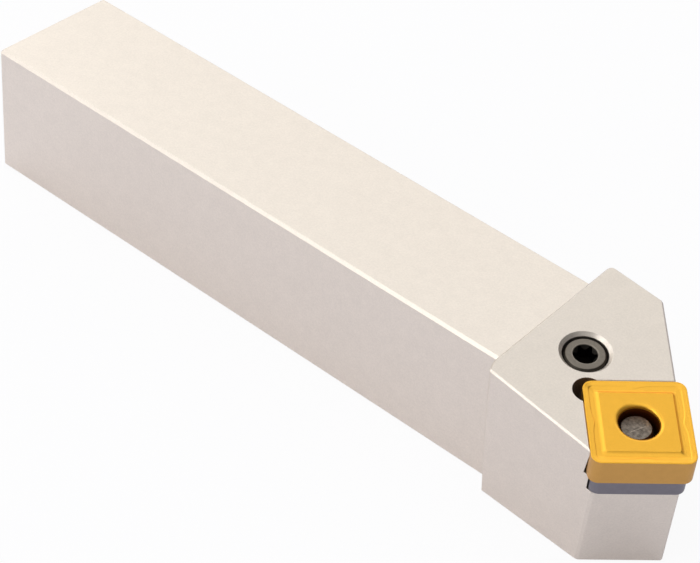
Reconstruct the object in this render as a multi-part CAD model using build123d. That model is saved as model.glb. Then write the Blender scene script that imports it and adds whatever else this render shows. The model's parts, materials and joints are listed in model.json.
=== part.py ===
from build123d import *
import math
import os

os.makedirs("parts", exist_ok=True)

# A left-hand turning tool holder for square inserts, with lever clamping.
# Frame: X runs along the shank from the tail face, Y across it, Z up from the base.
# The origin is in the middle of the shank's width, on the base, at the tail face.
# The cutting side is the near side, towards -Y. Millimetres and degrees.

# ---- shank ----
shank_width = 25.0
shank_height = 25.0
shank_edge_chamfer = 0.5

# ---- place of the cutting edge ----
tool_length = 150.0        # tail face to the foremost point of the insert
insert_overhang = 7.5      # near side of the shank to the outermost point of the insert
gauge_corner_radius = 1.2  # both are stated for an insert with this corner radius
approach_angle = 45.0      # main cutting edge to the shank's axis
rake_angle = 8.0           # the seat leans down towards the main cutting edge by this much

# ---- insert ----
insert_size = 15.875       # inscribed circle
insert_thickness = 4.76
insert_corner_radius = 1.6
insert_hole_diameter = 6.35
insert_hole_rounding = 0.6
insert_edge_hone = 0.1     # width of the bevel that strengthens the cutting edges
chip_land = 0.95           # flat rim outside the chip groove
chip_wave = 0.35           # how much wider the rim is in the middle of each side
chip_slope = 0.6           # width of the groove's outer slope
chip_floor = 0.3           # width of the groove's floor
chip_rise = 0.45           # width of the slope up to the raised middle
chip_depth = 0.3
chip_corner_radius = 0.9   # at the corners of the rim
island_corner_radius = 0.4
island_pinch = 0.1         # hollow of the sides of the raised middle

# ---- shim and its sleeve ----
shim_thickness = 3.5
shim_recess = 0.6          # shim sides behind the insert sides
shim_corner_radius = 1.6
shim_edge_chamfer = 0.2
shim_clearance = 0.2       # shim sides to the walls of its pocket
sleeve_diameter = 7.0
sleeve_wall = 0.7
sleeve_top_gap = 0.35      # top of the sleeve below the top of the shim
sleeve_depth = 2.9         # sleeve into the holder, below the seat
sleeve_slit = 0.8

# ---- pocket ----
ledge_drop = 0.6           # ledge in the pocket wall below the underside of the insert
wall_top_chamfer = 0.2
wall_contact = 1.2         # depth of the band of the walls that the insert bears on
wall_relief = 4.0          # below that band the walls lean away from the insert
relief_diameter = 4.86     # corner relief hole
relief_from_side_wall = 0.85
relief_from_back_wall = 1.84

# ---- head ----
side_setback = 1.5         # outer corner of the insert beyond the near side of the head
side_flare = 3.5           # the near side opens out towards the insert
side_draft = 5.5           # the near side leans in towards the base
front_setback = 0.32       # lower edge of the shim beyond the front face
front_relief = 9.0         # the front face leans back towards the base
nose_setback = 1.45        # side of the insert beyond the slanting nose face
wall_behind_screw = 4.5    # screw hole to the rear wall of the head
rear_near_radius = 6.0
rear_near_start = 2.3      # near side of the shank to the start of that rounding
rear_far_radius = 1.0
edge_break = 0.3
root_radius = 1.0          # where the rear wall meets the shank

# ---- lever screw ----
screw_hole_diameter = 7.3
screw_hole_chamfer = 0.57
wall_before_screw = 1.55   # mouth of the screw hole to the back wall of the pocket
lever_direction = 64.0     # line from the insert's middle to the screw, from the main cutting edge
screw_head_gap = 0.27
screw_head_recess = 0.5
screw_head_bevel = 0.35
screw_neck_diameter = 3.4
screw_thread_diameter = 6.0
screw_thread_length = 9.0
thread_clearance = 0.05
socket_tip_radius = 1.93   # six-lobed socket: lobe tips and waists
socket_waist_radius = 1.4
socket_depth = 2.6
socket_chamfer = 0.1       # mouth of the socket beyond the lobe tips
lobe_half_angle = 11.0     # socket's middle to where a lobe meets a waist
screw_end_chamfer = 0.8

# ---- lever ----
lever_lean = 2.0           # lean of the upright arm when it clamps the insert
lever_top_depth = 1.8      # top of the lever below the top of the insert
lever_bulge_drop = 1.1     # widest place below the lever's top
lever_crown = 0.45         # top disc smaller than the widest place, on the radius
lever_contact_gap = 0.05   # lever to what it presses on
lever_neck_clearance = 0.75
lever_pad_radius = 1.3     # rounded end that the screw presses down
lever_pad_overlap = 2.7    # screw axis to the middle of the pad
lever_arm_thickness = 2.0
lever_arm_width = 4.4
lever_pad_clearance = 0.3  # pad to the screw's neck and lower flange
chamber_width = 5.4
knee_side_clearance = 0.2  # rounded flanks of the knee to the chamber
chamber_clearance = 0.35

# ---- places worked out from the sizes above ----
# Seat frame: origin in the middle of the insert's top, x along the main cutting edge,
# y towards the back of the pocket, z square to the seat.
half_insert = insert_size / 2
half_shim = half_insert - shim_recess
approach = math.radians(approach_angle)
rake = math.radians(rake_angle)
edge_x, edge_y = math.cos(approach), math.sin(approach)
corner_reach = gauge_corner_radius * (edge_x + edge_y - 1)
tip_x = tool_length + corner_reach
outer_y = -shank_width / 2 - insert_overhang - corner_reach
tip_y = outer_y + insert_size * edge_y
seat_origin = Vector(
    tip_x - half_insert * edge_x - half_insert * edge_y * math.cos(rake),
    tip_y - half_insert * edge_y + half_insert * edge_x * math.cos(rake),
    shank_height + half_insert * math.sin(rake),
)
seat_normal = Vector(edge_y * math.sin(rake), -edge_x * math.sin(rake), math.cos(rake))
seat = Plane(origin=seat_origin, x_dir=Vector(edge_x, edge_y, 0), z_dir=seat_normal)

seat_level = -insert_thickness - shim_thickness
ledge_level = -insert_thickness - ledge_drop
shim_wall = half_shim + shim_clearance

# Screw axis in the seat frame, and the lever's own frame with x towards the screw.
screw_mouth_radius = screw_hole_diameter / 2 + screw_hole_chamfer
screw_y = half_insert + wall_before_screw + screw_mouth_radius
screw_x = -screw_y / math.tan(math.radians(lever_direction))
screw_distance = math.hypot(screw_x, screw_y)
lever_turn = math.degrees(math.atan2(screw_y, screw_x))
lever_frame = seat * Rot(0, 0, lever_turn)

lean = math.radians(lever_lean)
sleeve_bottom = seat_level - sleeve_depth
pad_reach = screw_distance - lever_pad_overlap
pad_swing = pad_reach * math.sin(lean)
chamber_half_height = lever_pad_radius + pad_swing + chamber_clearance
pivot_level = sleeve_bottom - chamber_half_height
bulge_level = -lever_top_depth - lever_bulge_drop
bulge_radius = insert_hole_diameter / 2 - lever_contact_gap - (bulge_level - pivot_level) * math.sin(lean)
lever_top_radius = bulge_radius - lever_crown
neck_radius = sleeve_diameter / 2 - sleeve_wall - lever_neck_clearance
knee_radius = chamber_width / 2 - lever_contact_gap
shoulder_level = pivot_level + lever_pad_radius - pad_swing + lever_contact_gap
flange_level = pivot_level - lever_pad_radius - pad_swing - lever_pad_clearance
chamber_floor = pivot_level - chamber_half_height

# Head, in the main frame.
screw_mouth = seat.from_local_coords(Vector(screw_x, screw_y, 0))
rear_wall_x = screw_mouth.X - screw_mouth_radius - wall_behind_screw
stock = 3 * insert_size    # more than any cut needs
on_base = (Align.CENTER, Align.CENTER, Align.MIN)
under_top = (Align.CENTER, Align.CENTER, Align.MAX)
pocket_corner = (Align.MIN, Align.MAX, Align.MIN)


# ---- holder body ----
def near_side_plane():
    """Leans in towards the base and opens out towards the insert."""
    flare = math.tan(math.radians(side_flare))
    draft = math.tan(math.radians(side_draft))
    corner = Vector(tip_x - insert_size * edge_x, outer_y + side_setback, shank_height)
    return Plane(origin=corner, z_dir=Vector(-flare, -1, -draft))


def nose_plane():
    """Upright face beside the insert, square to the main cutting edge."""
    side = seat.from_local_coords(Vector(half_insert, -half_insert, 0))
    direction = Vector(edge_x, edge_y, 0)
    return Plane(origin=side - direction * nose_setback, z_dir=direction)


def front_plane():
    """Clearance face under the main cutting edge."""
    lean_back = math.radians(front_relief)
    normal = Vector(edge_y * math.cos(lean_back), -edge_x * math.cos(lean_back), -math.sin(lean_back))
    edge_of_seat = seat.from_local_coords(Vector(0, -half_shim + front_setback, seat_level))
    return Plane(origin=edge_of_seat, z_dir=normal)


def shank():
    profile = Plane.YZ * Pos(0, shank_height / 2) * Rectangle(shank_width, shank_height)
    profile = chamfer(profile.vertices(), shank_edge_chamfer)
    bar = extrude(profile, rear_wall_x + rear_near_radius)
    return chamfer(bar.faces().sort_by(Axis.X)[0].edges(), shank_edge_chamfer)


def head():
    near_y = -shank_width / 2 - rear_near_start - rear_near_radius
    far_y = shank_width / 2
    length = tip_x - rear_wall_x
    plan = Pos(rear_wall_x + length / 2, (near_y + far_y) / 2) * Rectangle(length, far_y - near_y)
    plan = fillet(plan.vertices().sort_by_distance((rear_wall_x, near_y))[0], rear_near_radius)
    plan = fillet(plan.vertices().sort_by_distance((rear_wall_x, far_y))[0], rear_far_radius)
    block = extrude(plan, shank_height + stock)
    far_base = Plane(origin=(0, far_y, shank_edge_chamfer), z_dir=(0, 1, -1))
    for cut in (seat, near_side_plane(), nose_plane(), front_plane(), far_base):
        block = split(block, bisect_by=cut, keep=Keep.BOTTOM)
    return block


def face_on(block, plane):
    """The face of a block that was cut by the plane."""
    return [face for face in block.faces() if face.normal_at().dot(plane.z_dir) > 0.9999][0]


def head_edges(block):
    """Every edge round the top, near side, front and nose faces, each one once."""
    found = ShapeList()
    for plane in (seat, near_side_plane(), front_plane(), nose_plane()):
        for edge in face_on(block, plane).edges():
            if all((edge @ 0.5 - known @ 0.5).length > 0.001 for known in found):
                found.append(edge)
    return found


def root_cove():
    """Hollow fillet where the shank's top and near side run into the rear wall of the head."""
    flat = shank_width / 2 - shank_edge_chamfer
    side = -shank_width / 2
    path = Plane.YZ.offset(rear_wall_x) * Polyline(
        (flat, shank_height),
        (-flat, shank_height),
        (side, shank_height - shank_edge_chamfer),
        (side, shank_edge_chamfer),
    )
    start = Plane(origin=path @ 0, x_dir=(-1, 0, 0), z_dir=(0, 1, 0))
    overlap = shank_edge_chamfer / 4
    reach = root_radius + overlap
    corner = Pos(-overlap, -overlap) * Rectangle(reach, reach, align=Align.MIN)
    section = start * (corner - Pos(root_radius, root_radius) * Circle(root_radius))
    return sweep(section, path, transition=Transition.RIGHT)


def pocket():
    """Two-step recess: insert walls that lean away below their contact band, a ledge, shim walls."""
    shim_height = ledge_level - seat_level
    lean_away = -(wall_contact + ledge_level) * math.tan(math.radians(wall_relief))
    floor_plan = Rectangle(stock, stock, align=(Align.MIN, Align.MAX))
    insert_room = Box(stock, stock, stock, align=pocket_corner)
    insert_room = Pos(-half_insert, half_insert, -wall_contact) * insert_room
    insert_room += loft([
        Pos(-half_insert - lean_away, half_insert + lean_away, ledge_level) * floor_plan,
        Pos(-half_insert, half_insert, -wall_contact) * floor_plan,
    ])
    shim_room = Box(stock, stock, shim_height, align=pocket_corner)
    shim_room = Pos(-shim_wall, shim_wall, seat_level) * shim_room
    relief_x = -half_insert + relief_from_side_wall
    relief_y = half_insert - relief_from_back_wall
    relief = Pos(relief_x, relief_y, seat_level) * Cylinder(relief_diameter / 2, stock, align=on_base)
    return seat * (insert_room + shim_room + relief)


def wall_top_break():
    """Sloping cut along the top edges of the pocket walls."""
    wider = stock + 2 * wall_top_chamfer
    wedge = loft([Pos(0, 0, -wall_top_chamfer) * Rectangle(stock, stock), Rectangle(wider, wider)])
    return seat * Pos(stock / 2 - half_insert, half_insert - stock / 2, 0) * wedge


def screw_hole():
    """Plain bore for the screw's head, and below it a threaded hole that runs through the base."""
    bore = Cylinder(screw_hole_diameter / 2, -chamber_floor, align=under_top)
    mouth = Cone(screw_hole_diameter / 2, screw_mouth_radius, screw_hole_chamfer, align=under_top)
    thread = Cylinder(screw_thread_diameter / 2 + thread_clearance, stock, align=under_top)
    return seat * Pos(screw_x, screw_y, 0) * (bore + mouth + Pos(0, 0, chamber_floor) * thread)


def knee(radius, flank_radius):
    """Round bar across the lever, with its ends rounded off to turn inside a round-ended slot."""
    bar = Rot(90, 0, 0) * Cylinder(radius, chamber_width)
    return bar & Cylinder(flank_radius, chamber_width)


def lever_room():
    """Bore for the sleeve, a slot that leads to the screw, and a seat for the lever's knee."""
    bore = Pos(0, 0, seat_level) * Cylinder(sleeve_diameter / 2, sleeve_depth, align=under_top)
    slot = Box(screw_distance, chamber_width, 2 * chamber_half_height)
    slot = Pos(screw_distance / 2, 0, pivot_level) * slot
    slot_end = Pos(0, 0, pivot_level) * Cylinder(chamber_width / 2, chamber_half_height, align=on_base)
    knee_seat = Pos(0, 0, pivot_level) * knee(chamber_width / 2, chamber_width / 2)
    return lever_frame * (bore + slot + slot_end + knee_seat)


def holder_body():
    blank = head()
    blank = chamfer(head_edges(blank), edge_break)
    body = blank + shank() + root_cove()
    return body - pocket() - wall_top_break() - screw_hole() - lever_room()


# ---- insert ----
def bowed_outline(half_width, hollow, corner_radius):
    """Rounded square whose sides bow inwards by the hollow in the middle."""
    run = half_width - corner_radius
    diagonal = half_width - corner_radius * (1 - math.sqrt(0.5))
    middle = half_width - hollow
    between = half_width - hollow / 4
    sides = []
    for quarter_turn in range(4):
        turn = Rot(0, 0, 90 * quarter_turn)
        half_run = run / 2
        start, end = (half_width, -run), (half_width, run)
        bow = Spline(start, (between, -half_run), (middle, 0), (between, half_run), end)
        bend = ThreePointArc(end, (diagonal, diagonal), (run, half_width))
        sides += [turn * bow, turn * bend]
    return make_face(sides)


def frustum(low, high):
    """Solid between an outline at the depth of the groove and one level with the rim."""
    return loft([Pos(0, 0, -chip_depth) * low, high], ruled=True)


def chip_groove():
    """Ring-shaped groove between the flat rim and the raised middle, with sloping sides."""
    rim = half_insert - chip_land
    floor_outer = rim - chip_slope
    floor_inner = floor_outer - chip_floor
    island = floor_inner - chip_rise
    outer = frustum(
        bowed_outline(floor_outer, chip_wave / 2, chip_corner_radius),
        bowed_outline(rim, chip_wave, chip_corner_radius),
    )
    inner = frustum(
        bowed_outline(floor_inner, island_pinch, island_corner_radius),
        bowed_outline(island, island_pinch, island_corner_radius),
    )
    return outer - inner


def insert():
    """Square double-sided insert: the same groove in both faces, and a rounded hole."""
    outline = RectangleRounded(insert_size, insert_size, insert_corner_radius)
    plate = extrude(outline, -insert_thickness)
    plate = chamfer(plate.faces().filter_by(Axis.Z).edges(), insert_edge_hone)
    plate -= Cylinder(insert_hole_diameter / 2, insert_thickness, align=under_top)
    hole_rims = plate.edges().filter_by(GeomType.CIRCLE).group_by(SortBy.RADIUS)[-1]
    plate = fillet(hole_rims, insert_hole_rounding)
    groove = chip_groove()
    other_face = Pos(0, 0, -insert_thickness) * Rot(180, 0, 0) * groove
    return seat * (plate - groove - other_face)


# ---- shim and sleeve ----
def shim():
    """Square plate under the insert."""
    outline = RectangleRounded(2 * half_shim, 2 * half_shim, shim_corner_radius)
    plate = Pos(0, 0, -insert_thickness) * extrude(outline, -shim_thickness)
    hole = Cylinder(sleeve_diameter / 2, shim_thickness, align=under_top)
    plate -= Pos(0, 0, -insert_thickness) * hole
    return seat * chamfer(plate.faces().filter_by(Axis.Z).edges(), shim_edge_chamfer)


def shim_sleeve():
    """Thin split tube, sprung into the holder and the shim."""
    top = -insert_thickness - sleeve_top_gap
    tube = Cylinder(sleeve_diameter / 2, top - sleeve_bottom, align=under_top)
    tube -= Cylinder(sleeve_diameter / 2 - sleeve_wall, top - sleeve_bottom, align=under_top)
    slit = Pos(-sleeve_diameter / 2, 0, 0) * Box(sleeve_diameter, sleeve_slit, stock)
    return lever_frame * Pos(0, 0, top) * (tube - slit)


# ---- lever ----
def lever_upright():
    """Turned arm: a top disc, a rounded bulge that pulls the insert, and a neck down to the knee."""
    top = -lever_top_depth - pivot_level
    bulge = bulge_level - pivot_level
    neck_top = bulge - 2 * lever_bulge_drop
    side = [
        Line((0, top), (lever_top_radius, top)),
        ThreePointArc((lever_top_radius, top), (bulge_radius, bulge), (neck_radius, neck_top)),
        Line((neck_radius, neck_top), (neck_radius, 0)),
        Line((neck_radius, 0), (0, 0)),
        Line((0, 0), (0, top)),
    ]
    return revolve(Plane.XZ * make_face(side), Axis.Z)


def lever_arm():
    """Flat arm with a rounded pad at its end, notched round the neck of the screw."""
    half = lever_arm_thickness / 2
    bar = Pos(pad_reach / 2, 0, 0) * Box(pad_reach, lever_arm_width, 2 * half)
    pad = Pos(pad_reach, 0, 0) * Rot(90, 0, 0) * Cylinder(lever_pad_radius, lever_arm_width)
    notch_radius = screw_neck_diameter / 2 + lever_pad_clearance
    notch = Pos(screw_distance, 0, 0) * Cylinder(notch_radius, 4 * lever_pad_radius)
    return bar + pad - notch


def lever():
    """L-shaped lever, leaning towards the screw as it does when the insert is clamped."""
    neutral = lever_upright() + lever_arm() + knee(knee_radius, chamber_width / 2 - knee_side_clearance)
    return lever_frame * Pos(0, 0, pivot_level) * Rot(0, lever_lean, 0) * neutral


# ---- lever screw ----
def socket_outline(tip, waist):
    """Six rounded lobes joined by hollow waists."""
    joint = (tip + waist) / 2
    edges = []
    for lobe in range(6):
        turn = Rot(0, 0, 60 * lobe)
        start = Vector(joint, 0).rotate(Axis.Z, -lobe_half_angle)
        end = Vector(joint, 0).rotate(Axis.Z, lobe_half_angle)
        following = Vector(joint, 0).rotate(Axis.Z, 60 - lobe_half_angle)
        hollow = Vector(waist, 0).rotate(Axis.Z, 30)
        edges.append(turn * ThreePointArc(start, (tip, 0), end))
        edges.append(turn * ThreePointArc(end, hollow, following))
    return make_face(edges)


def lever_screw():
    """Long cylindrical head with a socket, a neck for the lever, and the threaded end."""
    head_radius = screw_hole_diameter / 2 - screw_head_gap
    waist_radius = screw_neck_diameter / 2
    thread_radius = screw_thread_diameter / 2
    end = flange_level - screw_thread_length
    side = Polyline(
        (0, -screw_head_recess),
        (head_radius - screw_head_bevel, -screw_head_recess),
        (head_radius, -screw_head_recess - screw_head_bevel),
        (head_radius, shoulder_level),
        (waist_radius, shoulder_level),
        (waist_radius, flange_level),
        (thread_radius, flange_level),
        (thread_radius, end + screw_end_chamfer),
        (thread_radius - screw_end_chamfer, end),
        (0, end),
        close=True,
    )
    turned = revolve(Plane.XZ * make_face(side), Axis.Z)
    socket = extrude(socket_outline(socket_tip_radius, socket_waist_radius), -socket_depth)
    mouth_radius = socket_tip_radius + socket_chamfer
    mouth = Cone(socket_waist_radius, mouth_radius, mouth_radius - socket_waist_radius, align=under_top)
    turned -= Pos(0, 0, -screw_head_recess) * (socket + mouth)
    return seat * Pos(screw_x, screw_y, 0) * Rot(0, 0, lever_turn) * turned


parts = {
    "holder_body": holder_body(),
    "insert": insert(),
    "shim": shim(),
    "shim_sleeve": shim_sleeve(),
    "lever": lever(),
    "lever_screw": lever_screw(),
}
for name, solid in parts.items():
    export_step(solid, f"parts/{name}.step")
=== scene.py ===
import json
import math

import bpy
from bpy.props import FloatProperty, FloatVectorProperty, PointerProperty
from bpy.types import Operator, Panel, PropertyGroup
from mathutils import Matrix, Quaternion, Vector


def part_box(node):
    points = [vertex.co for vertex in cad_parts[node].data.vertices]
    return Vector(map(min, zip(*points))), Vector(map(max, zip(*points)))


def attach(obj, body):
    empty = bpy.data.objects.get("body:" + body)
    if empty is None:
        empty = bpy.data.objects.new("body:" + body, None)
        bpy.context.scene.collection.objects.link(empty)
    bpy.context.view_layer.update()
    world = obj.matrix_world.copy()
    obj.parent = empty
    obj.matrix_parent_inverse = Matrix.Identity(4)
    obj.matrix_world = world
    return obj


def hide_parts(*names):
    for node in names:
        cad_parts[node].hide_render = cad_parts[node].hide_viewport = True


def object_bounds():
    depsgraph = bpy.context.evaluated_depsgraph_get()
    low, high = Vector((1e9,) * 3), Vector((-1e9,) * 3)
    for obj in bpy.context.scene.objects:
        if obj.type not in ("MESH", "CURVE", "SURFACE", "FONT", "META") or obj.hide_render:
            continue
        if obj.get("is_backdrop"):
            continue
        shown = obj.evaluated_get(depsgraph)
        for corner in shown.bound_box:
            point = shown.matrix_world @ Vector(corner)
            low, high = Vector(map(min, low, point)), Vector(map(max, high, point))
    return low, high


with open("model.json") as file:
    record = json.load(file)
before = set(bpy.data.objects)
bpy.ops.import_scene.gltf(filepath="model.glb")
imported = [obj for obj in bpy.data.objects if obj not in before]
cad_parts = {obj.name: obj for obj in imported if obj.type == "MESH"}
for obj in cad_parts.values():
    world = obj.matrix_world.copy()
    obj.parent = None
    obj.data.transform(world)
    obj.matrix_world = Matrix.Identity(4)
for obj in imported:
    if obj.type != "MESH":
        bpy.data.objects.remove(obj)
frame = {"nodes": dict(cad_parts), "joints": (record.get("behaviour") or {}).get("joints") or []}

bl_info = {
    "name": "Turning tool holder",
    "version": (1, 0, 0),
    "blender": (4, 5, 0),
    "location": "View3D > Sidebar > Tool holder",
    "description": "Finishes of a lever-lock turning tool holder and its studio",
    "category": "Object",
}

MM = 0.001


def hex_colour(text):
    """sRGB hex value as a linear colour."""
    parts = [int(text[i:i + 2], 16) / 255 for i in (1, 3, 5)]
    return [c / 12.92 if c <= 0.04045 else ((c + 0.055) / 1.055) ** 2.4 for c in parts]


def colour_property(name, description, default):
    return FloatVectorProperty(
        name=name, description=description, subtype="COLOR", size=3, min=0, max=1,
        default=hex_colour(default),
    )


def length_property(name, description, default):
    """The default is in millimetres."""
    return FloatProperty(name=name, description=description, default=default * MM, unit="LENGTH")


# ---- settings ----
class HolderSettings(PropertyGroup):
    plating: colour_property("Plating", "Colour of the nickel plating", "#E6DDD2")
    grain: length_property("Grain", "Width of one blasted dimple", 0.3)
    cloud: length_property("Cloud", "Width of the faint patches in the plating", 2.2)
    thread_pitch: length_property("Thread pitch", "Pitch of the screw's thread", 1.0)
    thread_depth: length_property("Thread depth", "Height of the thread in the base hole", 0.55)


class InsertSettings(PropertyGroup):
    coating: colour_property("Coating", "Titanium nitride on the pressed faces", "#FBBF45")
    flank: colour_property("Flanks", "Titanium nitride on the ground sides", "#CE9F59")
    # Painted shade: the wall of the hole gets this dark brown in place of the gold, for the shade deep in
    # the hole.
    hole_shade_colour: colour_property("Hole coat", "Thin titanium nitride inside the hole", "#8A4A14")
    shim: colour_property("Shim", "Colour of the ground carbide shim", "#807D84")
    corner: length_property("Corner radius", "Radius of the insert's corners", 1.6)
    hone: length_property("Hone", "Rounding of the cutting edge", 0.07)
    hole: length_property("Hole", "Radius of the hole", 3.175)
    hole_rounding: length_property("Hole rounding", "Rounding at the mouth of the hole", 0.6)
    land: length_property("Land", "Width of the flat land along the edges", 0.3)
    wave: length_property("Wave", "Bow of the step in the slope, in the middle of each side", 0.35)
    groove: length_property("Groove depth", "Depth of the chip groove", 0.36)


class ClampSettings(PropertyGroup):
    screw: colour_property("Screw", "Colour of the phosphated screw", "#80796F")
    lever: colour_property("Lever", "Colour of the hardened lever", "#837A70")
    sleeve: colour_property("Sleeve", "Colour of the spring steel sleeve", "#77757A")


class StageSettings(PropertyGroup):
    floor: colour_property("Floor", "Colour of the floor and of what the metal reflects from it", "#F2F1FA")
    lens: FloatProperty(
        name="Lens", description="Focal length of the camera", default=128.34, unit="CAMERA",
    )
    roll: FloatProperty(
        name="Roll", description="Tilt of the camera about its own axis", default=math.radians(4.19),
        subtype="ANGLE",
    )
    place: FloatVectorProperty(
        name="Camera", description="Where the camera stands", subtype="XYZ", unit="LENGTH",
        default=(0.28318, -0.25023, 0.27217),
    )
    aim: FloatVectorProperty(
        name="Aim", description="Direction the camera looks in", subtype="XYZ",
        default=(-0.49973, 0.59678, -0.62779),
    )


# ---- materials ----
NOISE_LOW, NOISE_HIGH = 0.3, 0.7   # range that the noise seldom leaves
BEVEL_SAMPLES = 6

# The screw's skin, measured from the axis and the flat end of the screw.
SOCKET_RADIUS = 2.03 * MM
SOCKET_START = 0.12 * MM       # depth at which the socket is painted black: the unworn phosphate, with painted shade
SOCKET_SHADE = 0.08            # brightness, beside one for the rubbed end
SKIN_EDGE = 0.04 * MM          # width over which the shade changes round the socket
RIM_START = 0.01 * MM          # painted highlight ring, from the edge of the socket
RIM_END = 0.09 * MM
RIM_HIGHLIGHT = 1.35
HEAD_FACE_RADIUS = 3.05 * MM   # where the dark edge of the head begins
HEAD_EDGE = 0.06 * MM
HEAD_EDGE_SHADE = 0.25
SCREW_REACH = 30 * MM          # more than any radius or depth on the screw

# The scratch across the lever's top.
SCRATCH_BEARING = math.radians(26)   # from the main cutting edge
SCRATCH_OFFSET = -0.35 * MM          # from the middle
SCRATCH_WIDTH = 0.06 * MM
SCRATCH_SIDE = 0.06 * MM             # width over which its sides fade
SCRATCH_LENGTH = 2.4 * MM
SCRATCH_TAIL = 0.3 * MM              # length over which its ends fade
SCRATCH_SHADE = 1.9


def add_node(tree, kind, settings=None, links=None):
    """Adds a node; settings name its sockets or its own options, links name its sockets."""
    node = tree.nodes.new(kind)
    for key, value in (settings or {}).items():
        if isinstance(key, str) and hasattr(node, key):
            setattr(node, key, value)
        else:
            node.inputs[key].default_value = value
    for key, socket in (links or {}).items():
        tree.links.new(socket, node.inputs[key])
    return node


def new_material(name):
    material = bpy.data.materials.new(name)
    material.use_nodes = True
    material.node_tree.nodes.clear()
    return material, material.node_tree


def mottled(tree, width, spread, detail=3.0):
    """Brightness that drifts either side of one, over patches about as wide as the width."""
    place = add_node(tree, "ShaderNodeTexCoord").outputs["Object"]
    settings = {"Scale": 1 / width, "Detail": detail}
    patches = add_node(tree, "ShaderNodeTexNoise", settings, {"Vector": place})
    levels = {"From Min": NOISE_LOW, "From Max": NOISE_HIGH, "To Min": 1 - spread, "To Max": 1 + spread}
    return add_node(tree, "ShaderNodeMapRange", levels, {"Value": patches.outputs["Fac"]}).outputs["Result"]


def tinted(tree, colour, *levels):
    """The colour times each of the levels, which vary over the surface."""
    shade = add_node(tree, "ShaderNodeVectorMath", {"operation": "SCALE", 0: colour}, {"Scale": levels[0]})
    for level in levels[1:]:
        links = {0: shade.outputs[0], "Scale": level}
        shade = add_node(tree, "ShaderNodeVectorMath", {"operation": "SCALE"}, links)
    return shade.outputs[0]


def grained(tree, width, depth, edge=0.0):
    """Surface normal of fine round grain, with edges softened by the given radius."""
    place = add_node(tree, "ShaderNodeTexCoord").outputs["Object"]
    grain = add_node(tree, "ShaderNodeTexNoise", {"Scale": 1 / width, "Detail": 2.0}, {"Vector": place})
    links = {"Height": grain.outputs["Fac"]}
    if edge:
        softened = add_node(tree, "ShaderNodeBevel", {"Radius": edge, "samples": BEVEL_SAMPLES})
        links["Normal"] = softened.outputs["Normal"]
    return add_node(tree, "ShaderNodeBump", {"Strength": 1.0, "Distance": depth}, links).outputs["Normal"]


def metal(tree, base, normal, roughness):
    """Bare or coated metal of that colour, which is all that the surface shows."""
    settings = {"Metallic": 1.0, "Roughness": roughness}
    shader = add_node(tree, "ShaderNodeBsdfPrincipled", settings, {"Base Color": base, "Normal": normal})
    add_node(tree, "ShaderNodeOutputMaterial", links={"Surface": shader.outputs[0]})


def seen_from(tree, point):
    """Place on the surface as it lies from the point."""
    place = add_node(tree, "ShaderNodeTexCoord").outputs["Object"]
    settings = {"operation": "SUBTRACT", 1: point}
    return add_node(tree, "ShaderNodeVectorMath", settings, {0: place}).outputs["Vector"]


def from_axis(tree, point, axis):
    """Distance of the surface from a line through the point."""
    settings = {"operation": "CROSS_PRODUCT", 1: axis}
    across = add_node(tree, "ShaderNodeVectorMath", settings, {0: seen_from(tree, point)}).outputs["Vector"]
    return add_node(tree, "ShaderNodeVectorMath", {"operation": "LENGTH"}, {0: across}).outputs["Value"]


def from_plane(tree, point, normal):
    """Height of the surface above a plane through the point."""
    settings = {"operation": "DOT_PRODUCT", 1: normal}
    return add_node(tree, "ShaderNodeVectorMath", settings, {0: seen_from(tree, point)}).outputs["Value"]


def within(tree, value, low, high, soft):
    """One where the value lies between low and high, going to zero over the soft width outside them."""
    middle, half = (low + high) / 2, (high - low) / 2
    offset = add_node(tree, "ShaderNodeMath", {"operation": "SUBTRACT", 1: middle}, {0: value})
    size = add_node(tree, "ShaderNodeMath", {"operation": "ABSOLUTE"}, {0: offset.outputs[0]})
    share = {"From Min": half, "From Max": half + soft, "To Min": 1.0, "To Max": 0.0}
    return add_node(tree, "ShaderNodeMapRange", share, {"Value": size.outputs[0]}).outputs["Result"]


def marked(tree, level, *shares):
    """Brightness of one that goes to the level where every share is one."""
    share = shares[0]
    for each in shares[1:]:
        share = add_node(tree, "ShaderNodeMath", {"operation": "MULTIPLY"}, {0: share, 1: each}).outputs[0]
    brightness = add_node(tree, "ShaderNodeMapRange", {"To Min": 1.0, "To Max": level}, {"Value": share})
    return brightness.outputs["Result"]


def nickel_plated_steel(settings):
    """Hardened steel, bead blasted and nickel plated: a warm, even satin with very fine grain."""
    material, tree = new_material("nickel_plated_blasted_steel")
    # The blasted dimples are about 0.05 mm wide; they are drawn coarser, so that they show.
    speckle = mottled(tree, settings.grain, spread=0.035)
    base = tinted(tree, settings.plating, mottled(tree, settings.cloud, spread=0.015), speckle)
    metal(tree, base, grained(tree, settings.grain, depth=0.008 * MM, edge=0.1 * MM), roughness=0.42)
    return material


# The grain of pressed, ground and rolled surfaces is finer than 0.05 mm, and is drawn coarser as well.
def pressed_nitride(settings):
    """Pressed and sintered carbide under vapour-deposited titanium nitride: deep satin gold."""
    material, tree = new_material("titanium_nitride_on_pressed_carbide")
    speckle = mottled(tree, 0.25 * MM, spread=0.015)
    base = tinted(tree, settings.coating, mottled(tree, 1.2 * MM, spread=0.015), speckle)
    metal(tree, base, grained(tree, 0.25 * MM, depth=0.004 * MM), roughness=0.38)
    return material


def ground_nitride(settings):
    """Ground carbide under the same coat: the flanks look paler and duller than the pressed faces."""
    material, tree = new_material("titanium_nitride_on_ground_carbide")
    speckle = mottled(tree, 0.25 * MM, spread=0.015)
    base = tinted(tree, settings.flank, mottled(tree, 1.2 * MM, spread=0.02), speckle)
    metal(tree, base, grained(tree, 0.25 * MM, depth=0.005 * MM), roughness=0.42)
    return material


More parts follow.
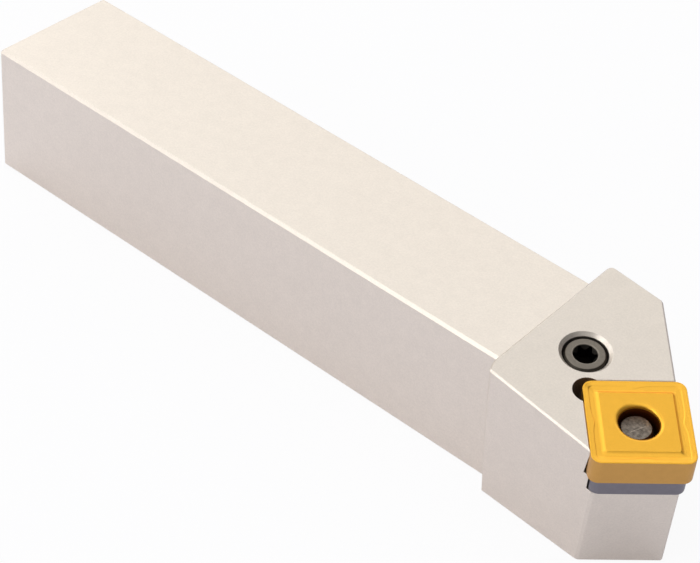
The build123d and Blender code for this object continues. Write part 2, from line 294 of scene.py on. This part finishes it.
def painted_hole_shade(settings):
    """Painted shade in the hole: the gold coat darkened to brown, standing in for the shade deep in the
    hole.
    """
    material, tree = new_material("titanium_nitride_with_painted_shade_in_the_hole")
    base = tinted(tree, settings.hole_shade_colour, mottled(tree, 0.6 * MM, spread=0.05))
    metal(tree, base, grained(tree, 0.25 * MM, depth=0.004 * MM), roughness=0.45)
    return material


def ground_carbide(settings):
    """Ground cemented carbide: dark, slightly blue grey."""
    material, tree = new_material("ground_cemented_carbide")
    base = tinted(tree, settings.shim, mottled(tree, 0.8 * MM, spread=0.04))
    metal(tree, base, grained(tree, 0.2 * MM, depth=0.004 * MM, edge=0.08 * MM), roughness=0.4)
    return material


def phosphated_screw_steel(settings, centre, axis):
    """Hardened steel, phosphated black and rubbed grey on its end: nearly black in its socket, the unworn
    phosphate with painted shade, a painted highlight round the socket, and darker round the edge of its
    head.
    """
    material, tree = new_material("phosphated_screw_steel")
    radius = from_axis(tree, centre, axis)
    # Painted shade deep in the socket, over the black of the unworn phosphate.
    socket_width = within(tree, radius, 0.0, SOCKET_RADIUS - SKIN_EDGE, SKIN_EDGE)
    socket_depth = within(tree, from_plane(tree, centre, axis), -SCREW_REACH, -SOCKET_START, SKIN_EDGE)
    # Painted highlight: a bright ring on the edge of the socket.
    rim = within(tree, radius, SOCKET_RADIUS + RIM_START, SOCKET_RADIUS + RIM_END, SKIN_EDGE)
    edge = within(tree, radius, HEAD_FACE_RADIUS + HEAD_EDGE, SCREW_REACH, HEAD_EDGE)
    base = tinted(
        tree, settings.screw,
        marked(tree, SOCKET_SHADE, socket_width, socket_depth),
        marked(tree, RIM_HIGHLIGHT, rim),
        marked(tree, HEAD_EDGE_SHADE, edge),
        mottled(tree, 0.35 * MM, spread=0.08),
    )
    metal(tree, base, grained(tree, 0.2 * MM, depth=0.003 * MM, edge=0.06 * MM), roughness=0.42)
    return material


def hardened_lever_steel(settings, seat, centre):
    """Hardened steel with a dark, streaky heat skin, and one long scratch across its top."""
    material, tree = new_material("hardened_lever_steel")
    turn = Quaternion(seat.col[2].xyz, SCRATCH_BEARING)
    along = from_plane(tree, centre, turn @ seat.col[0].xyz)
    across = from_plane(tree, centre, turn @ seat.col[1].xyz)
    left, right = SCRATCH_OFFSET - SCRATCH_WIDTH / 2, SCRATCH_OFFSET + SCRATCH_WIDTH / 2
    scratch = marked(
        tree, SCRATCH_SHADE,
        within(tree, across, left, right, SCRATCH_SIDE),
        within(tree, along, -SCRATCH_LENGTH / 2, SCRATCH_LENGTH / 2, SCRATCH_TAIL),
    )
    streaks = mottled(tree, 0.5 * MM, spread=0.45, detail=6.0)
    base = tinted(tree, settings.lever, streaks, scratch, mottled(tree, 1.2 * MM, spread=0.15))
    metal(tree, base, grained(tree, 0.25 * MM, depth=0.012 * MM, edge=0.08 * MM), roughness=0.45)
    return material


def spring_steel(settings):
    """Rolled spring steel, blued to a plain grey."""
    material, tree = new_material("spring_steel")
    base = tinted(tree, settings.sleeve, mottled(tree, 0.7 * MM, spread=0.05))
    metal(tree, base, grained(tree, 0.2 * MM, depth=0.004 * MM, edge=0.08 * MM), roughness=0.45)
    return material


def dress(node, material):
    """Gives a CAD node its material."""
    target = frame["nodes"][node]
    target.data.materials.clear()
    target.data.materials.append(material)


# ---- places taken from the frame ----
TOP_DEPTH = 0.2 * MM   # what lies this close under a node's highest point counts as its top


def clamp_axis():
    """Direction square to the seat, along which the screw travels."""
    joint = next(each for each in frame["joints"] if each["name"] == "screw_travel")
    return Vector(joint["axis"]).normalized()


def seat_matrix():
    """Frame in the middle of the insert: x along the main cutting edge, z square to the seat."""
    normal = clamp_axis()
    along = Vector((0, 0, 1)).cross(normal).normalized()
    turn = Matrix((along, normal.cross(along), normal)).transposed().to_4x4()
    low, high = (Vector(corner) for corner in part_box("insert"))
    return Matrix.Translation((low + high) / 2) @ turn


def points_in(place, node):
    """Corners of a node's mesh, measured in the frame given."""
    back = place.inverted()
    return [back @ vertex.co for vertex in frame["nodes"][node].data.vertices]


def top_centre(node):
    """Middle of a node's top, measured along the screw's axis."""
    seat = seat_matrix()
    points = points_in(seat, node)
    top = max(point.z for point in points)
    rim = [point for point in points if point.z > top - TOP_DEPTH]
    across = [(min(point[i] for point in rim) + max(point[i] for point in rim)) / 2 for i in (0, 1)]
    return seat @ Vector((*across, top))


# ---- meshes ----
def ring_mesh(name, rings, closed, smooth=True):
    """Joins rings of points, each with as many points, into a skin that closes round each ring."""
    around = len(rings[0])
    count = len(rings)
    faces = []
    for i in range(count if closed else count - 1):
        j = (i + 1) % count
        for k in range(around):
            m = (k + 1) % around
            faces.append((i * around + k, i * around + m, j * around + m, j * around + k))
    mesh = bpy.data.meshes.new(name)
    mesh.from_pydata([point for ring in rings for point in ring], [], faces)
    mesh.polygons.foreach_set("use_smooth", [smooth] * len(faces))
    mesh.update()
    return mesh


def add_piece(mesh, body):
    piece = bpy.data.objects.new(mesh.name, mesh)
    bpy.context.scene.collection.objects.link(piece)
    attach(piece, body)
    return piece


# ---- the insert's mesh ----
SIDE_STEPS = 48
CORNER_STEPS = 12
ROUNDING_STEPS = 6
RING_STEP = 0.05 * MM

# The face, from the edge inwards.
LAND_STEP = 0.015 * MM           # step where the flat land ends
LAND_STEP_WIDTH = 0.06 * MM
BEND_INSET = 0.8 * MM            # from the edge to the wavy step in the slope
BEND_STEP = 0.055 * MM
BEND_STEP_WIDTH = 0.16 * MM
WAVE_LENGTH = 1.3 * MM
SLOPE_END = 1.5 * MM             # from the edge to the bottom of the groove
RISE_WIDTH = 0.82 * MM           # from there to the raised middle, ever steeper
FACE_END = 2.4 * MM
INNER_CORNER = 0.3 * MM          # least corner radius, inside the face

FLANK_END = 2                    # hones from the face down to the flat side's last ring
MOUTH_START = math.radians(25)   # slope at which the rounding of the hole begins
MOUTH_DEPTH = 0.8                # of the rounding of the hole, as a share of its width
MOUTH_MARGIN = 1.2               # widths of the rounding to the next ring, on the face and in the hole


def bearings(half, corner):
    """Directions round a rounded square, closer together at its corners."""
    run = half - corner
    quarter = [math.atan2(run * (2 * k / SIDE_STEPS - 1), half) for k in range(SIDE_STEPS + 1)]
    for k in range(1, CORNER_STEPS):
        bend = math.pi / 2 * k / CORNER_STEPS
        quarter.append(math.atan2(run + corner * math.sin(bend), run + corner * math.cos(bend)))
    return [angle + turn * math.pi / 2 for turn in range(4) for angle in quarter]


def reach(angle, half, corner):
    """Distance from the middle of a rounded square to its outline, in one direction."""
    long, short = sorted((abs(math.cos(angle)), abs(math.sin(angle))), reverse=True)
    run = half - corner
    if half * short / long <= run:
        return half / long
    along = run * (long + short)
    return along + math.sqrt(along ** 2 - 2 * run ** 2 + corner ** 2)


def smooth_step(value, start, width):
    """Eased change from 0 to 1 that begins at start."""
    share = min(max((value - start) / width, 0.0), 1.0)
    return share * share * (3 - 2 * share)


def face_level(inset, along, settings):
    """Level of the insert's face: a flat land, a slope with a wavy step, and the raised middle."""
    bend = BEND_INSET + settings.wave * math.exp(-((along / WAVE_LENGTH) ** 2))
    steps = LAND_STEP * smooth_step(inset, settings.land, LAND_STEP_WIDTH)
    steps += BEND_STEP * smooth_step(inset, bend, BEND_STEP_WIDTH)
    run = min(max((inset - settings.land) / (SLOPE_END - settings.land), 0.0), 1.0)
    slope = (settings.groove - LAND_STEP - BEND_STEP) * run
    rise = min(max((inset - SLOPE_END) / RISE_WIDTH, 0.0), 1.0) ** 2
    return -(steps + slope) * (1 - rise)


def insert_half(settings, half, thickness):
    """Rings over one face, from the middle of the outer side to the middle of the hole."""
    angles = bearings(half, settings.corner)
    top = thickness / 2

    def outline(inset, level=None):
        """Ring that far in from the side, at one level or on the face."""
        corner = max(settings.corner - inset, INNER_CORNER)
        ring = []
        for angle in angles:
            distance = reach(angle, half - inset, corner)
            x, y = distance * math.cos(angle), distance * math.sin(angle)
            height = face_level(inset, min(abs(x), abs(y)), settings) if level is None else level
            ring.append((x, y, top + height))
        return ring

    def circle(radius, level):
        return [(radius * math.cos(angle), radius * math.sin(angle), top + level) for angle in angles]

    hone, rounding = settings.hone, settings.hole_rounding
    rings = [outline(0, -top), outline(0, -FLANK_END * hone)]
    for k in range(ROUNDING_STEPS + 1):
        bend = math.pi / 2 * k / ROUNDING_STEPS
        rings.append(outline(hone * (1 - math.cos(bend)), -hone * (1 - math.sin(bend))))
    for k in range(1, round((FACE_END - hone) / RING_STEP) + 1):
        rings.append(outline(hone + k * RING_STEP))
    rings.append(circle(settings.hole + MOUTH_MARGIN * rounding, 0))
    for k in range(ROUNDING_STEPS + 1):
        bend = MOUTH_START + (math.pi / 2 - MOUTH_START) * k / ROUNDING_STEPS
        across = (1 - math.sin(bend)) / (1 - math.sin(MOUTH_START))
        down = (math.cos(MOUTH_START) - math.cos(bend)) / math.cos(MOUTH_START)
        rings.append(circle(settings.hole + rounding * across, -MOUTH_DEPTH * rounding * down))
    rings += [circle(settings.hole, -MOUTH_MARGIN * rounding), circle(settings.hole, -top)]
    return rings


def insert_mesh(settings, half, thickness):
    """Square insert with the same chip groove in both faces: material 1 on its sides, 2 in its hole."""
    upper = insert_half(settings, half, thickness)
    lower = [[(x, y, -z) for x, y, z in ring] for ring in upper[-2:0:-1]]
    seat = seat_matrix()
    rings = [[seat @ Vector(point) for point in ring] for ring in upper + lower]
    mesh = ring_mesh("coated_insert", rings, closed=True)
    # Strips of faces, counted from the middle of the outer side; the lower hone gets the side's darker
    # colour as painted shade, so that no bright line runs along the bottom edge.
    side = (*range(2), *range(len(rings) - ROUNDING_STEPS - 3, len(rings)))
    bore = range(len(upper) - 2, len(upper))
    around = len(rings[0])
    for index, strips in ((1, side), (2, bore)):
        for strip in strips:
            for polygon in mesh.polygons[strip * around:(strip + 1) * around]:
                polygon.material_index = index
    return mesh


# ---- the thread's mesh ----
THREAD_SAMPLE = 4 * MM    # length of the screw, from its end, that is all thread
THREAD_GAP = 0.07 * MM    # from the screw's thread to the wall of its hole, and a little into it
THREAD_STEPS = 48         # in each turn
THREAD_FADE = 1 / 6       # share of the ridge's length over which it grows, and again shrinks
THREAD_BASE = 0.42        # half width of the ridge at the wall, in pitches
THREAD_CREST = 0.07       # and at its crest
LEAST_HEIGHT = 0.02 * MM  # of the ridge, at its ends
LEAST_WIDTH = 0.1         # at its ends, as a share of its full width


def thread_mesh(settings, low, high, radius, foot):
    """Helical ridge inside a hole of that radius; foot is the frame it winds in."""
    turns = (high - low) / settings.thread_pitch
    steps = round(turns * THREAD_STEPS)
    rings = []
    for k in range(steps + 1):
        way = k / steps
        angle = 2 * math.pi * turns * way
        height = low + (high - low) * way
        fade = min(1.0, way / THREAD_FADE, (1 - way) / THREAD_FADE)
        crest = radius - max(settings.thread_depth * fade, LEAST_HEIGHT)
        base_half = THREAD_BASE * settings.thread_pitch * max(fade, LEAST_WIDTH)
        crest_half = THREAD_CREST * settings.thread_pitch
        x, y = math.cos(angle), math.sin(angle)
        section = ((radius, -base_half), (radius, base_half), (crest, crest_half), (crest, -crest_half))
        rings.append([foot @ Vector((r * x, r * y, height + z)) for r, z in section])
    return ring_mesh("base_thread", rings, closed=False, smooth=False)


def base_thread(settings):
    """Thread of the screw's hole, between the end of the screw and the base."""
    foot = seat_matrix()
    foot.translation = top_centre("lever_screw")
    points = points_in(foot, "lever_screw")
    end = min(point.z for point in points)
    radius = max(math.hypot(point.x, point.y) for point in points if point.z < end + THREAD_SAMPLE)
    axis = foot.col[2]
    base = -foot.translation.z / axis.z          # level at which the axis meets the base
    tilt = radius * math.hypot(axis.x, axis.y)   # how far the tilted hole's rim climbs above that
    low, high = base + tilt + settings.thread_pitch / 2, end - settings.thread_pitch
    return thread_mesh(settings, low, high, radius + THREAD_GAP, foot)


# ---- operators ----
class TOOLHOLDER_OT_holder(Operator):
    """Finish the steel body and add the thread in its base"""
    bl_idname = "toolholder.holder"
    bl_label = "Holder body"

    def execute(self, context):
        settings = context.scene.holder_settings
        steel = nickel_plated_steel(settings)
        dress("holder_body", steel)
        thread = add_piece(base_thread(settings), "holder")
        thread.data.materials.append(steel)
        return {"FINISHED"}


class TOOLHOLDER_OT_insert(Operator):
    """Build the coated insert with its chip grooves, and finish the shim"""
    bl_idname = "toolholder.insert"
    bl_label = "Insert and shim"

    def execute(self, context):
        settings = context.scene.insert_settings
        points = points_in(seat_matrix(), "insert")
        half = max(point.x for point in points)
        thickness = 2 * max(point.z for point in points)
        mesh = insert_mesh(settings, half, thickness)
        mesh.materials.append(pressed_nitride(settings))
        mesh.materials.append(ground_nitride(settings))
        mesh.materials.append(painted_hole_shade(settings))
        piece = add_piece(mesh, "holder")
        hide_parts("insert")
        dress("shim", ground_carbide(settings))
        return {"FINISHED"}


class TOOLHOLDER_OT_clamp(Operator):
    """Finish the lever, its screw and the sleeve"""
    bl_idname = "toolholder.clamp"
    bl_label = "Lever, screw and sleeve"

    def execute(self, context):
        settings = context.scene.clamp_settings
        dress("lever_screw", phosphated_screw_steel(settings, top_centre("lever_screw"), clamp_axis()))
        dress("lever", hardened_lever_steel(settings, seat_matrix(), top_centre("lever")))
        dress("shim_sleeve", spring_steel(settings))
        return {"FINISHED"}


# ---- stage ----
# Name; bearing from +X and elevation in degrees; distance, width and height in metres; brightness.
SOFTBOXES = (
    ("back_softbox", 121, 36, 1.5, 2.1, 1.0, 1.08),
    ("overhead_softbox", 125, 86, 1.5, 1.5, 1.3, 0.88),
    ("left_softbox", 185, 34, 1.5, 1.6, 1.0, 1.28),
    ("front_left_softbox", 252, 42, 1.5, 0.9, 0.8, 2.2),
    ("low_left_softbox", 230, 9, 1.2, 1.5, 0.34, 2.6),
    ("front_softbox", 318, 56, 1.5, 1.2, 0.9, 0.75),
)
AMBIENT = 0.2        # brightness of the world, where it isn't seen as the white background
FLOOR_WIDTH = 6.0    # metres
FLOOR_WHITE = 0.92   # share of plain white in the floor as the camera sees it; the rest keeps the shadow
FLOOR_GLOSS = 0.14   # the same share as the metal reflects it


def softbox(name, bearing, elevation, distance, width, height, brightness, target):
    """Rectangular lamp that faces the target, as bright per area as its brightness says."""
    turn, rise = math.radians(bearing), math.radians(elevation)
    away = Vector((math.cos(turn), math.sin(turn), math.tan(rise))).normalized()
    light = bpy.data.lights.new(name, "AREA")
    light.shape = "RECTANGLE"
    light.size, light.size_y = width, height
    light.energy = brightness * math.pi * width * height
    lamp = bpy.data.objects.new(name, light)
    lamp.location = target + away * distance
    lamp.rotation_euler = away.to_track_quat("Z", "Y").to_euler()
    bpy.context.scene.collection.objects.link(lamp)


def share_of_rays(tree, shares):
    """Share that belongs to the kind of ray that is looking, and zero for the other kinds."""
    path = add_node(tree, "ShaderNodeLightPath")
    links = {}
    for ray, share in shares.items():
        links[0] = path.outputs[ray]
        total = add_node(tree, "ShaderNodeMath", {"operation": "MULTIPLY_ADD", 1: share, 2: 0.0}, links)
        links[2] = total.outputs[0]
    return links[2]


class TOOLHOLDER_OT_stage(Operator):
    """Build the floor, the soft light and the camera"""
    bl_idname = "toolholder.stage"
    bl_label = "Stage"

    def execute(self, context):
        scene = context.scene
        settings = scene.stage_settings
        scene.view_settings.view_transform = "Standard"
        low, high = (Vector(corner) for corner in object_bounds())
        self.add_floor(scene, settings, low.z)
        self.add_world(scene)
        for box in SOFTBOXES:
            softbox(*box, target=(low + high) / 2)
        self.add_camera(scene, settings)
        return {"FINISHED"}

    def add_floor(self, scene, settings, level):
        half = FLOOR_WIDTH / 2
        corners = [(x * half, y * half, level) for x, y in ((-1, -1), (1, -1), (1, 1), (-1, 1))]
        mesh = bpy.data.meshes.new("floor")
        mesh.from_pydata(corners, [], [(0, 1, 2, 3)])
        floor = bpy.data.objects.new("floor", mesh)
        scene.collection.objects.link(floor)
        material, tree = new_material("matt_white_board")
        matt = add_node(tree, "ShaderNodeBsdfDiffuse", {"Color": (*settings.floor, 1.0)})
        white = add_node(tree, "ShaderNodeEmission", {"Strength": 1.0})
        shares = {
            "Is Camera Ray": FLOOR_WHITE,
            "Is Transmission Ray": FLOOR_WHITE,
            "Is Glossy Ray": FLOOR_GLOSS,
        }
        links = {0: share_of_rays(tree, shares), 1: matt.outputs[0], 2: white.outputs[0]}
        shader = add_node(tree, "ShaderNodeMixShader", links=links)
        add_node(tree, "ShaderNodeOutputMaterial", links={"Surface": shader.outputs[0]})
        mesh.materials.append(material)
        floor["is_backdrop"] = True

    def add_world(self, scene):
        world = bpy.data.worlds.new("studio")
        scene.world = world
        world.use_nodes = True
        tree = world.node_tree
        tree.nodes.clear()
        room = add_node(tree, "ShaderNodeBackground", {"Color": (1, 1, 1, 1), "Strength": AMBIENT})
        white = add_node(tree, "ShaderNodeBackground", {"Color": (1, 1, 1, 1), "Strength": 1.0})
        share = share_of_rays(tree, {"Is Camera Ray": 1.0, "Is Transmission Ray": 1.0})
        links = {0: share, 1: room.outputs[0], 2: white.outputs[0]}
        background = add_node(tree, "ShaderNodeMixShader", links=links)
        add_node(tree, "ShaderNodeOutputWorld", links={"Surface": background.outputs[0]})

    def add_camera(self, scene, settings):
        lens = bpy.data.cameras.new("camera")
        lens.lens = settings.lens
        lens.clip_start, lens.clip_end = 0.01, 20.0
        camera = bpy.data.objects.new("camera", lens)
        camera.location = settings.place
        turn = Vector(settings.aim).to_track_quat("-Z", "Y") @ Quaternion((0, 0, 1), settings.roll)
        camera.rotation_euler = turn.to_euler()
        scene.collection.objects.link(camera)
        scene.camera = camera


# ---- add-on ----
PIECES = (
    ("holder_settings", HolderSettings, TOOLHOLDER_OT_holder),
    ("insert_settings", InsertSettings, TOOLHOLDER_OT_insert),
    ("clamp_settings", ClampSettings, TOOLHOLDER_OT_clamp),
    ("stage_settings", StageSettings, TOOLHOLDER_OT_stage),
)


class TOOLHOLDER_PT_panel(Panel):
    """Lists the pieces of the tool holder"""
    bl_label = "Tool holder"
    bl_idname = "TOOLHOLDER_PT_panel"
    bl_space_type = "VIEW_3D"
    bl_region_type = "UI"
    bl_category = "Tool holder"

    def draw(self, context):
        for name, group, operator in PIECES:
            box = self.layout.box()
            for key in group.__annotations__:
                box.prop(getattr(context.scene, name), key)
            box.operator(operator.bl_idname)


CLASSES = (
    *(group for _, group, _ in PIECES),
    *(operator for _, _, operator in PIECES),
    TOOLHOLDER_PT_panel,
)


def register():
    for each in CLASSES:
        bpy.utils.register_class(each)
    for name, group, _ in PIECES:
        setattr(bpy.types.Scene, name, PointerProperty(type=group))


def unregister():
    for name, _, _ in PIECES:
        delattr(bpy.types.Scene, name)
    for each in reversed(CLASSES):
        bpy.utils.unregister_class(each)


def main():
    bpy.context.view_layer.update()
    register()
    bpy.ops.toolholder.holder()
    bpy.ops.toolholder.insert()
    bpy.ops.toolholder.clamp()
    bpy.ops.toolholder.stage()


if __name__ == "__main__":
    main()
